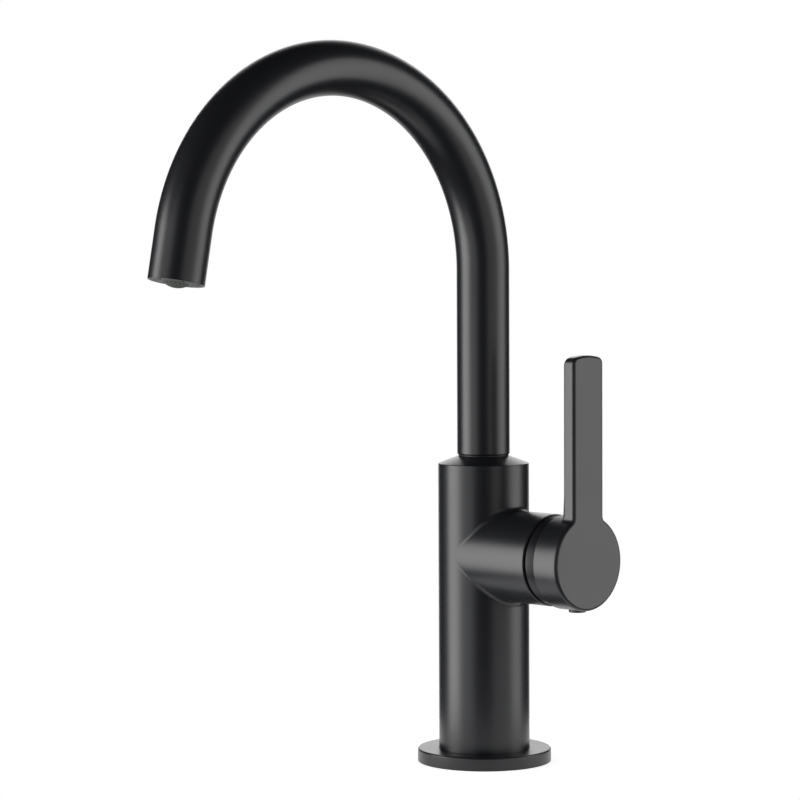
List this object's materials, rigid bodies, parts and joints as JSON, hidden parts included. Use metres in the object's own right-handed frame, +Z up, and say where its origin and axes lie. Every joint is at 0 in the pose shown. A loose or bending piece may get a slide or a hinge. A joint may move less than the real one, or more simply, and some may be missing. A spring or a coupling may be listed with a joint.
{
  "type": "gooseneck bar faucet",
  "caption": "Deck-mounted bar faucet: a swivelling gooseneck spout on an upright round body, and a flat side lever that tilts outward for flow and turns for temperature.",
  "frame": {"origin": "centre of the base flange's underside, on the deck and on the spout's swivel axis", "axes": "+Z up; the spout reaches towards -Y, the user; the side branch and its lever are on the +X side"},
  "size_m": [0.0886, 0.2016, 0.2975],
  "materials": {
    "black_coat": "matte black coating, fine satin sheen",
    "black_plastic": "matte black moulding",
    "screen_plastic": "grey moulding with a green cast",
    "brass": "machined",
    "copper": "drawn tube",
    "steel": "stainless, machined",
    "rubber": "black nitrile",
    "acetal": "white acetal moulding",
    "ceramic": "lapped alumina"
  },
  "bodies": {
    "body": {"base_flange": "black_coat", "base_gasket": "rubber", "faucet_body": "black_coat", "base_insert": "brass", "inlet_tubes": "copper", "spout_grub_screw": "steel", "spout_washer": "black_plastic", "cartridge_base": "acetal", "port_seals": "rubber", "cartridge_shell": "acetal", "fixed_disc": "ceramic", "cartridge_nut": "brass", "bonnet": "black_coat"},
    "spout": {"spout_connector": "brass", "spout_o_rings": "rubber", "spout_glide_rings": "acetal", "spout_tube": "black_coat", "aerator_socket": "brass", "aerator_housing": "screen_plastic", "aerator_screen": "screen_plastic", "aerator_core": "acetal", "aerator_sieve": "steel", "aerator_gasket": "rubber"},
    "turret": {"turret": "acetal", "pivot_pin": "steel"},
    "disc": {"disc_carrier": "acetal", "moving_disc": "ceramic"},
    "lever": {"valve_stem": "brass", "handle": "black_coat", "handle_set_screw": "steel", "set_screw_plug": "black_plastic"}
  },
  "joints": [
    {"name": "spout_swivel", "type": "hinge", "parent": "body", "child": "spout", "pos_m": [0, 0, 0.13], "axis": [0, 0, 1], "continuous": true},
    {"name": "temperature_turn", "type": "hinge", "parent": "body", "child": "turret", "pos_m": [0.0379, 0, 0.0874], "axis": [1, 0, 0], "range_deg": [-45, 45]},
    {"name": "flow_tilt", "type": "hinge", "parent": "turret", "child": "lever", "pos_m": [0.0379, 0, 0.0874], "axis": [0, 1, 0], "range_deg": [0, 18]},
    {"name": "disc_slide", "type": "slide", "parent": "turret", "child": "disc", "axis": [0, 0, 1], "range_m": [0, 0.0032]}
  ],
  "couplings": [
    {"joint": "disc_slide", "follows": "flow_tilt", "m_per_rad": 0.01}
  ]
}
